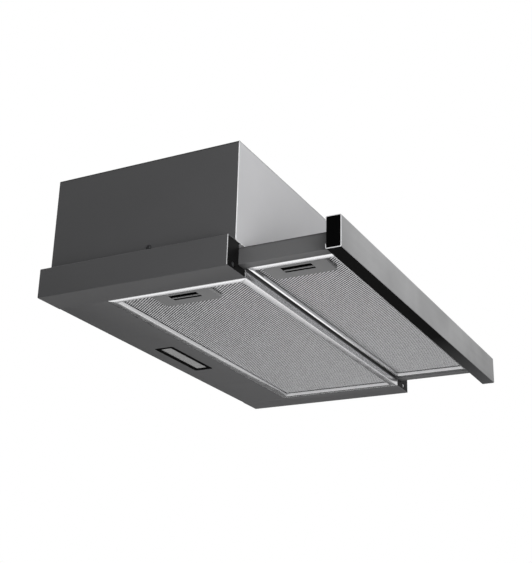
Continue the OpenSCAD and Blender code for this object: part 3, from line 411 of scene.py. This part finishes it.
def make_finishes(look):
    painted("dark_paint", look.paint, look.paint_rough)
    painted("drawer_paint", look.drawer, rough=0.36)
    painted("front_sheet", look.front, rough=0.5)
    # The front sheet's bends get a lighter copy of its paint as a painted highlight.
    painted("front_edge", look.front_edge, rough=0.5)
    painted("handle_sheet", look.handle, rough=0.5)
    # The front panel's far end is darkened by painted shade.
    brushed("brushed_panel", look.steel, look.steel_rough, (0.02, 1, 1), blotch=0.45, far_painted_shade=0.95)
    brushed("steel", look.steel, rough=0.3, stretch=(1, 1, 0.1), blotch=0.1)
    spangled("zinc_sheet", look.zinc)
    rolled("filter_aluminium", look.alloy, rough=0.18, relief=0.04)
    rolled("mesh_aluminium", look.strands, rough=0.42)
    # The filter pad is nearly black: painted shade inside the filter.
    rolled("filter_pad", look.pad, rough=0.5)
    # Bare cut edges, made lighter also as a painted highlight.
    rolled("bare_edge", look.bare, rough=0.5)
    rolled("dark_zinc", scaled(look.zinc, 0.08), rough=0.6)
    moulded("black_moulding", look.moulding)
    moulded("black_trim", look.trim, rough=0.45, ior=1.1)
    moulded("deep_black", look.deep, rough=0.6, ior=1.04)
    # The film lightens toward the far end as a painted sheen.
    moulded("panel_film", look.film, rough=0.4, ior=1.05, far=look.film_end)
    moulded("grey_moulding", look.grey, rough=0.45)
    moulded("red_moulding", look.red, rough=0.4)
    moulded("soft_rubber", look.rubber, rough=0.8)
    moulded("board_white", look.board, rough=0.35)
    frosted("lamp_cover", look.cover)


# Mesh helpers


def piece(name, mesh, body, slot, replaces=(), smooth=30, finish=None):
    """Makes an object of a bmesh, gives it its finish and lets it ride."""
    data = bpy.data.meshes.new(name)
    mesh.to_mesh(data)
    mesh.free()
    made = bpy.data.objects.new(name, data)
    bpy.context.scene.collection.objects.link(made)
    data.shade_smooth()
    data.set_sharp_from_angle(angle=math.radians(smooth))
    data.materials.append(bpy.data.materials[FINISH + (finish or slot)])
    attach(made, body)
    if replaces:
        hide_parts(*replaces)
    return made


def merged(node):
    """A copy of a CAD node's mesh with its triangles joined into flat faces."""
    mesh = bmesh.new()
    mesh.from_mesh(frame["nodes"][node].data)
    bmesh.ops.remove_doubles(mesh, verts=mesh.verts, dist=WELD)
    bmesh.ops.dissolve_limit(
        mesh, angle_limit=math.radians(0.5), verts=mesh.verts, edges=mesh.edges
    )
    return mesh


def break_edges(mesh, width, segments=1, angle=32):
    """Bevels every edge that turns by more than the angle."""
    edges = [
        e for e in mesh.edges
        if len(e.link_faces) == 2 and e.calc_face_angle(0) > math.radians(angle)
    ]
    bmesh.ops.bevel(
        mesh, geom=edges, offset=width, offset_type="OFFSET", affect="EDGES",
        segments=segments, profile=0.5, material=-1, clamp_overlap=True,
    )


def in_place(node, ending, mesh, finish=None):
    """Puts a mesh in place of a node, on the node's body, with the finish of the node's slot unless
    another finish is given.
    """
    return piece(node + ending, mesh, BODY_OF[node], SLOT_OF[node], [node], finish=finish)


def dress(node, width, segments=1, finish=None):
    """A node's own shape with broken edges, in place of the node."""
    mesh = merged(node)
    break_edges(mesh, width, segments)
    made = in_place(node, "_dressed", mesh, finish)
    if segments > 1:
        made.modifiers.new("even_shading", "WEIGHTED_NORMAL").keep_sharp = True


def paint_nodes(*nodes):
    """Gives CAD nodes that stay their finish."""
    for node in nodes:
        data = frame["nodes"][node].data
        data.materials.clear()
        data.materials.append(bpy.data.materials[FINISH + SLOT_OF[node]])


def cut_at(mesh, place, way, **clear):
    """Cuts a mesh's faces at a plane; clear_outer or clear_inner takes one side away."""
    return bmesh.ops.bisect_plane(
        mesh, geom=mesh.verts[:] + mesh.edges[:] + mesh.faces[:], dist=SNAP,
        plane_co=Vector(place), plane_no=Vector(way), **clear,
    )


def cut_off(mesh, place, way):
    """Parts a solid at a plane, closes both cuts, and returns what lies that way as a mesh."""
    beyond = mesh.copy()
    for part, side in ((mesh, "clear_outer"), (beyond, "clear_inner")):
        cut = cut_at(part, place, way, **{side: True})
        rim = [item for item in cut["geom_cut"] if isinstance(item, bmesh.types.BMEdge)]
        bmesh.ops.triangle_fill(part, edges=rim, use_beauty=True)
        bmesh.ops.recalc_face_normals(part, faces=part.faces)
    return beyond


def join(mesh, *parts):
    """Adds other meshes to a mesh."""
    for part in parts:
        data = bpy.data.meshes.new("part")
        part.to_mesh(data)
        part.free()
        mesh.from_mesh(data)
        bpy.data.meshes.remove(data)
    return mesh


def cut_to_box(mesh, low, high):
    """Keeps what lies between two corners in X and Y."""
    for way in (Vector((1, 0, 0)), Vector((0, 1, 0))):
        cut_at(mesh, low, -way, clear_outer=True)
        cut_at(mesh, high, way, clear_outer=True)


def faces_between(mesh, low, high):
    """The faces whose middle lies between two corners in X and Y."""
    found = []
    for face in mesh.faces:
        at = face.calc_center_median()
        if low.x < at.x < high.x and low.y < at.y < high.y:
            found.append(face)
    return found


def thicken(mesh, thickness):
    """Gives an open sheet a thickness, with its normals outward."""
    bmesh.ops.solidify(mesh, geom=mesh.faces[:], thickness=thickness)
    bmesh.ops.recalc_face_normals(mesh, faces=mesh.faces)


def zigzag(low, high, columns, rows, height, z):
    """A sheet between two corners, folded up and down along X."""
    mesh = bmesh.new()
    bmesh.ops.create_grid(mesh, x_segments=columns, y_segments=rows, size=0.5)
    width = high.x - low.x
    fit = Matrix.Diagonal((width, high.y - low.y, 1, 1))
    bmesh.ops.transform(mesh, matrix=fit, verts=mesh.verts)
    step = width / columns
    for vert in mesh.verts:
        fold = round((vert.co.x + width / 2) / step)
        vert.co.z = height if fold % 2 else 0.0
    centre = (low + high) / 2
    bmesh.ops.translate(mesh, vec=(centre.x, centre.y, z), verts=mesh.verts)
    return mesh


# Operators: one for each group of pieces


class HOOD_OT_stage(bpy.types.Operator):
    """Sets up the camera, the lights, the floor and the background"""

    bl_idname = "hood.stage"
    bl_label = "Studio"

    def soft_light(self, name, place, target, size, watts):
        data = bpy.data.lights.new(name, "AREA")
        data.shape = "RECTANGLE"
        data.size, data.size_y = size
        data.energy = watts
        light = bpy.data.objects.new(name, data)
        bpy.context.scene.collection.objects.link(light)
        light.location = place
        light.visible_camera = False
        light.rotation_euler = (Vector(target) - Vector(place)).to_track_quat("-Z", "Y").to_euler()

    def screen(self, name, half, place, turn, level, glow):
        """A flat sheet. The share glow of it shows white to the camera and in metal."""
        sheet = bmesh.new()
        bmesh.ops.create_grid(sheet, x_segments=8, y_segments=8, size=1)
        matrix = Matrix.LocRotScale(Vector(place), Euler(turn), Vector((*half, 1)))
        bmesh.ops.transform(sheet, matrix=matrix, verts=sheet.verts)
        mesh = bpy.data.meshes.new(name)
        sheet.to_mesh(mesh)
        sheet.free()
        made = bpy.data.objects.new(name, mesh)
        bpy.context.scene.collection.objects.link(made)
        f = Finish(name, Roughness=0.9)
        cloud = f.noise(3, 2)
        f.set("Base Color", f.tint(cloud, (level,) * 3, (level * 1.05,) * 3))
        seen = f.node("ShaderNodeLightPath", out=0)
        for out in (3, 6):
            seen = seen.sum("MAXIMUM", seen, f.node("ShaderNodeLightPath", out=out))
        white = f.node("ShaderNodeEmission", {}, (1, 1, 1, 1), 1.0)
        mix = f.node("ShaderNodeMixShader", {}, seen * glow, Signal(f, f.shader.outputs[0]), white)
        f.tree.links.new(mix.socket, f.tree.nodes["Material Output"].inputs["Surface"])
        mesh.materials.append(f.material)
        return made

    def execute(self, context):
        scene = context.scene
        studio = scene.hood_studio
        data = bpy.data.cameras.new("camera")
        data.lens = studio.lens
        data.sensor_width = 36
        data.clip_start, data.clip_end = 0.05, 200
        camera = bpy.data.objects.new("camera", data)
        scene.collection.objects.link(camera)
        camera.location = studio.eye
        camera.rotation_euler = studio.turn
        scene.camera = camera
        scene.view_settings.view_transform = "Standard"

        world = bpy.data.worlds.new("studio")
        scene.world = world
        world.use_nodes = True
        tree = world.node_tree
        tree.nodes.clear()
        out = tree.nodes.new("ShaderNodeOutputWorld")
        path = tree.nodes.new("ShaderNodeLightPath")
        seen = path.outputs["Is Camera Ray"]
        for ray in ("Is Glossy Ray", "Is Transmission Ray"):
            more = tree.nodes.new("ShaderNodeMath")
            more.operation = "MAXIMUM"
            tree.links.new(seen, more.inputs[0])
            tree.links.new(path.outputs[ray], more.inputs[1])
            seen = more.outputs[0]
        even = tree.nodes.new("ShaderNodeBackground")
        even.inputs["Color"].default_value = (1, 1, 1, 1)
        even.inputs["Strength"].default_value = studio.fill
        white = tree.nodes.new("ShaderNodeBackground")
        white.inputs["Color"].default_value = (1, 1, 1, 1)
        mix = tree.nodes.new("ShaderNodeMixShader")
        tree.links.new(seen, mix.inputs[0])
        tree.links.new(even.outputs[0], mix.inputs[1])
        tree.links.new(white.outputs[0], mix.inputs[2])
        tree.links.new(mix.outputs[0], out.inputs["Surface"])

        hood = (0.0, -0.2, 0.05)
        for name, place, target, size in (
            ("front_light", (-0.4, -2.4, -0.6), hood, (2.4, 2.0)),
            ("side_light", (-0.85, -0.9, -0.15), (-0.3, -0.3, 0.03), (0.6, 0.6)),
            ("low_light", (1.5, 0.4, -1.2), (1.5, 0.4, 0), (2.6, 2.6)),
            ("back_light", (0.9, 1.9, 1.9), hood, (2.4, 2.4)),
        ):
            self.soft_light(name, place, target, size, getattr(studio, name))

        half = (studio.floor_half, studio.floor_half)
        self.screen("floor", half, (0, 0, studio.floor_z), (0, 0, 0), level=0.62, glow=0.75)
        flag = self.screen(
            "flag", studio.flag_size, studio.flag_place, studio.flag_turn, level=0.12, glow=0.0
        )
        flag.visible_camera = False
        return {"FINISHED"}


class HOOD_OT_finishes(bpy.types.Operator):
    """Makes the materials and paints the CAD nodes that stay"""

    bl_idname = "hood.finishes"
    bl_label = "Finishes"

    def execute(self, context):
        make_finishes(context.scene.hood_finish)
        paint_nodes(*frame["nodes"])
        return {"FINISHED"}


class HOOD_OT_sheets(bpy.types.Operator):
    """Breaks the cut edges of the tray, the housing, the drawer and the front panel"""

    bl_idname = "hood.sheets"
    bl_label = "Sheet metal"

    def execute(self, context):
        width = context.scene.hood_detail.sheet_edge
        for node in (
            "rear_panel", "housing_left", "housing_right", "housing_back", "housing_top", "panel_back",
        ):
            dress(node, width)
        for node in ("drawer_left", "drawer_right", "drawer_top", "drawer_rear_bar"):
            dress(node, width, finish="drawer_paint")
        # Front strips of the side frames: bare cut edge, and partly a painted highlight.
        bare = context.scene.hood_detail.bare_edge
        front_share = 0.6
        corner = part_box("housing_front")[1].x
        for node in ("side_frame_left", "side_frame_right"):
            low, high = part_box(node)
            mesh = merged(node)
            break_edges(mesh, width)
            out = -1 if node.endswith("left") else 1
            wall = max(abs(low.x), abs(high.x))
            strip = cut_off(mesh, (0, low.y + bare * front_share, 0), (0, -1, 0))
            join(mesh, cut_off(strip, (0, 0, low.z + bare), (0, 0, -1)))
            inner = cut_off(strip, (out * (wall - bare), 0, 0), (-out, 0, 0))
            join(strip, cut_off(inner, (out * corner, 0, 0), (-out, 0, 0)))
            join(mesh, inner)
            in_place(node, "_dressed", mesh)
            in_place(node, "_edge", strip, "bare_edge")
        # Painted highlight: the left and bottom edges of the front sheet get a lighter paint.
        low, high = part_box("housing_front")
        mesh = merged("housing_front")
        break_edges(mesh, width)
        strip = cut_off(mesh, (low.x + bare, 0, 0), (-1, 0, 0))
        join(strip, cut_off(mesh, (0, 0, low.z + bare), (0, 0, -1)))
        in_place("housing_front", "_dressed", mesh)
        in_place("housing_front", "_edge", strip, "front_edge")
        return {"FINISHED"}


class HOOD_OT_front_panel(bpy.types.Operator):
    """Makes the front panel's brushed skin, its bright cut ends (bare cut edges, partly a painted
    highlight) and the black film under it
    """

    bl_idname = "hood.front_panel"
    bl_label = "Front panel"

    def execute(self, context):
        detail = context.scene.hood_detail
        low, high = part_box("panel_skin")
        mesh = merged("panel_skin")
        break_edges(mesh, detail.sheet_edge)
        ends = cut_off(mesh, (low.x + detail.bare_edge, 0, 0), (-1, 0, 0))
        join(ends, cut_off(mesh, (high.x - detail.bare_edge, 0, 0), (1, 0, 0)))
        film = cut_off(mesh, (0, 0, low.z + detail.film), (0, 0, -1))
        in_place("panel_skin", "_dressed", mesh)
        in_place("panel_skin", "_ends", ends, "bare_edge")
        body, slot = BODY_OF["panel_skin"], SLOT_OF["panel_skin"]
        piece("panel_film", film, body, slot, ["panel_skin"], finish="panel_film")
        return {"FINISHED"}


class HOOD_OT_filters(bpy.types.Operator):
    """Makes the filters' frames, expanded meshes, pleated cores, handle plates and latches"""

    bl_idname = "hood.filters"
    bl_label = "Grease filters"

    def open_hole(self, mesh, hole):
        """Takes away the faces between two corners."""
        bmesh.ops.delete(mesh, geom=faces_between(mesh, *hole), context="FACES")

    def expanded_sheet(self, name, node, sizes, hole):
        """Expanded metal: lozenge cells, inset to strands that lean one way, and given a thickness."""
        low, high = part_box(node)
        px, py = sizes.pitch_x, sizes.pitch_y
        count = int((high.x - low.x) / px + (high.y - low.y) / py) + 4
        mesh = bmesh.new()
        bmesh.ops.create_grid(mesh, x_segments=count, y_segments=count, size=count / 2)
        lozenge = Matrix.Diagonal((px / math.sqrt(2), py / math.sqrt(2), 1, 1))
        turn = Matrix.Rotation(math.radians(45), 4, "Z")
        fit = Matrix.Translation((low + high) / 2) @ lozenge @ turn
        bmesh.ops.transform(mesh, matrix=fit, verts=mesh.verts)
        margin = Vector((px, py, 0))
        kept = set(faces_between(mesh, low - margin, high + margin))
        outside = [face for face in mesh.faces if face not in kept]
        bmesh.ops.delete(mesh, geom=outside, context="FACES")

        # The inset is even where each cell is a rectangle, so it is made there
        square = Matrix.Diagonal((sizes.broad * sizes.lean, sizes.broad, 1, 1)) @ fit.inverted()
        bmesh.ops.transform(mesh, matrix=square, verts=mesh.verts)
        knots = set(mesh.verts)
        cells = mesh.faces[:]
        bmesh.ops.inset_individual(mesh, faces=cells, thickness=1.0, use_even_offset=True)
        bmesh.ops.transform(mesh, matrix=square.inverted(), verts=mesh.verts)
        for vert in mesh.verts:
            if vert not in knots:
                others = [edge.other_vert(vert) for edge in vert.link_edges]
                knot_y = sum(other.co.y for other in others if other in knots)
                vert.co.z += sizes.twist * (0.5 if vert.co.y > knot_y else -0.5)
        bmesh.ops.delete(mesh, geom=cells, context="FACES_ONLY")
        cut_to_box(mesh, low, high)
        self.open_hole(mesh, hole)
        thicken(mesh, sizes.sheet)
        piece(name, mesh, BODY_OF[node], SLOT_OF[node], [node], finish="mesh_aluminium")

    def pleated_core(self, name, node, sizes, hole):
        """The pleated pad of fine mesh between the outer mesh and the inner screen, nearly black as
        painted shade.
        """
        low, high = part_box(node)
        columns = int((high.x - low.x) / sizes.pleat) * 2
        mesh = zigzag(low, high, columns, 6, sizes.pleat_height, high.z + sizes.pleat_gap)
        for corner in hole:
            for way in ((1, 0, 0), (0, 1, 0)):
                cut_at(mesh, corner, way)
        self.open_hole(mesh, hole)
        thicken(mesh, sizes.pleat_sheet)
        piece(name, mesh, BODY_OF[node], "filter_aluminium", finish="filter_pad")

    def handle(self, node, sizes, edge, hole):
        """The pressed plate, with the walls of its finger slot as a piece of their own in deep black,
        painted shade in the slot.
        """
        low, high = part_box(node)
        mesh = merged(node)
        break_edges(mesh, edge)
        # Painted shade: the slot's walls below the plate's face are made deep black.
        slot_painted_shade = cut_off(mesh, (0, 0, low.z + sizes.plate), (0, 0, 1))
        for corner, side in ((hole[0], -1), (hole[1], 1)):
            for way in ((side, 0, 0), (0, side, 0)):
                join(mesh, cut_off(slot_painted_shade, corner, way))
        in_place(node, "_dressed", mesh)
        in_place(node, "_slot", slot_painted_shade, "deep_black")

    def latch(self, node, sizes, edge):
        """The dark latch and the light grip at its lower edge."""
        mesh = merged(node)
        break_edges(mesh, edge)
        grip = cut_off(mesh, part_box(node)[0] + Vector((0, 0, sizes.grip)), (0, 0, -1))
        in_place(node, "_dressed", mesh, "deep_black")
        in_place(node, "_grip", grip)

    def execute(self, context):
        sizes = context.scene.hood_mesh
        edge = context.scene.hood_detail.sheet_edge
        for side in ("rear", "front"):
            for part in ("filter_frame", "filter_screen"):
                dress(f"{side}_{part}", edge)
            self.latch(f"{side}_latch", sizes, edge)
            y = middle(f"{side}_handle_plate").y
            hole = (
                Vector((SLOT_LEFT, y - SLOT_HALF, 0)),
                Vector((SLOT_RIGHT, y + SLOT_HALF, 0)),
            )
            self.handle(f"{side}_handle_plate", sizes, edge, hole)
            self.expanded_sheet(f"{side}_expanded_mesh", f"{side}_filter_mesh", sizes, hole)
            self.pleated_core(f"{side}_pleated_core", f"{side}_filter_mesh", sizes, hole)
        return {"FINISHED"}


class HOOD_OT_lamp(bpy.types.Operator):
    """Makes the lamp's bezel and its ribbed lens"""

    bl_idname = "hood.lamp"
    bl_label = "Lamp"

    def execute(self, context):
        detail = context.scene.hood_detail
        dress("lamp_bezel", detail.bezel_edge, 2, "deep_black")
        low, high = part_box("lamp_lens")
        mesh = zigzag(low, high, detail.lens_ribs * 2, 2, detail.lens_rib, low.z)
        rim = [e for e in mesh.edges if e.is_boundary]
        top = bmesh.ops.extrude_edge_only(mesh, edges=rim)
        for item in top["geom"]:
            if isinstance(item, bmesh.types.BMVert):
                item.co.z = high.z
        bmesh.ops.holes_fill(mesh, edges=[e for e in mesh.edges if e.is_boundary], sides=0)
        bmesh.ops.recalc_face_normals(mesh, faces=mesh.faces)
        piece("lamp_ribbed_lens", mesh, "chassis", "lamp_cover", ["lamp_lens"], smooth=20)
        return {"FINISHED"}


class HOOD_OT_mouldings(bpy.types.Operator):
    """Rounds the edges of the plastic mouldings, and adds the collar's gussets"""

    bl_idname = "hood.mouldings"
    bl_label = "Mouldings"

    def execute(self, context):
        detail = context.scene.hood_detail
        edge = detail.moulded_edge
        for node in ("guide_block_left", "guide_block_right"):
            dress(node, edge, 2, "black_trim")
        for node in ("panel_cap_left", "panel_cap_right"):
            dress(node, edge, 2, "deep_black")
        for node in ("terminal_box", "terminal_lid", "switch_plate", "light_slider", "speed_slider",
                     "cable_gland", "flap_front", "flap_rear", "duct_collar"):
            dress(node, detail.fine_edge, 2)
        self.collar_gussets(detail)
        return {"FINISHED"}

    def collar_gussets(self, detail):
        """Ribs that taper from the collar's flange up to its wall."""
        centre = middle("duct_collar")
        inner, outer = 59.4 * MM, 69.0 * MM
        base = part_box("duct_collar")[0].z + 2.3 * MM
        thick, tall = 1.6 * MM, 9.0 * MM
        top_share = 0.15
        mesh = bmesh.new()
        for k in range(detail.gussets):
            angle = 2 * math.pi * (k + 0.5) / detail.gussets
            rib = bmesh.ops.create_cube(mesh, size=1)["verts"]
            for vert in rib:
                top = vert.co.z > 0
                reach = (outer - inner) * (top_share if top else 1.0)
                vert.co.x = inner + (reach if vert.co.x > 0 else 0)
                vert.co.y *= thick
                vert.co.z = tall if top else 0.0
            bmesh.ops.rotate(mesh, verts=rib, matrix=Matrix.Rotation(angle, 3, "Z"))
            bmesh.ops.translate(mesh, verts=rib, vec=(centre.x, centre.y, base))
        break_edges(mesh, detail.fine_edge)
        piece("collar_gussets", mesh, "chassis", "black_moulding")


class HOOD_OT_fixings(bpy.types.Operator):
    """Breaks the edges of the screws"""

    bl_idname = "hood.fixings"
    bl_label = "Screws"

    def execute(self, context):
        edge = context.scene.hood_detail.screw_edge
        dress("panel_screws", edge)
        mesh = merged("body_screws")
        break_edges(mesh, edge)
        right = cut_off(mesh, (0, 0, 0), (1, 0, 0))
        piece("body_screws_left", mesh, "chassis", "steel", ["body_screws"], finish="dark_zinc")
        piece("body_screws_right", right, "chassis", "steel", ["body_screws"], finish="steel")
        return {"FINISHED"}


STEPS = (
    HOOD_OT_stage, HOOD_OT_finishes, HOOD_OT_sheets, HOOD_OT_front_panel, HOOD_OT_filters,
    HOOD_OT_lamp, HOOD_OT_mouldings, HOOD_OT_fixings,
)


class HOOD_PT_panel(bpy.types.Panel):
    """Lists the hood's sizes, colours and steps"""

    bl_idname = "HOOD_PT_panel"
    bl_label = "Pull out range hood"
    bl_space_type = "VIEW_3D"
    bl_region_type = "UI"
    bl_category = "Hood"

    def draw(self, context):
        for name in SETTINGS:
            box = self.layout.box()
            group = getattr(context.scene, name)
            for key in group.bl_rna.properties.keys():
                if key not in ("rna_type", "name"):
                    box.prop(group, key)
        for step in STEPS:
            self.layout.operator(step.bl_idname, text=step.bl_label)


CLASSES = (*SETTINGS.values(), *STEPS, HOOD_PT_panel)


def register():
    for cls in CLASSES:
        bpy.utils.register_class(cls)
    for name, group in SETTINGS.items():
        setattr(bpy.types.Scene, name, bpy.props.PointerProperty(type=group))


def unregister():
    for name in SETTINGS:
        delattr(bpy.types.Scene, name)
    for cls in reversed(CLASSES):
        bpy.utils.unregister_class(cls)


def main():
    register()
    for step in STEPS:
        group, name = step.bl_idname.split(".")
        getattr(getattr(bpy.ops, group), name)()


if __name__ == "__main__":
    main()
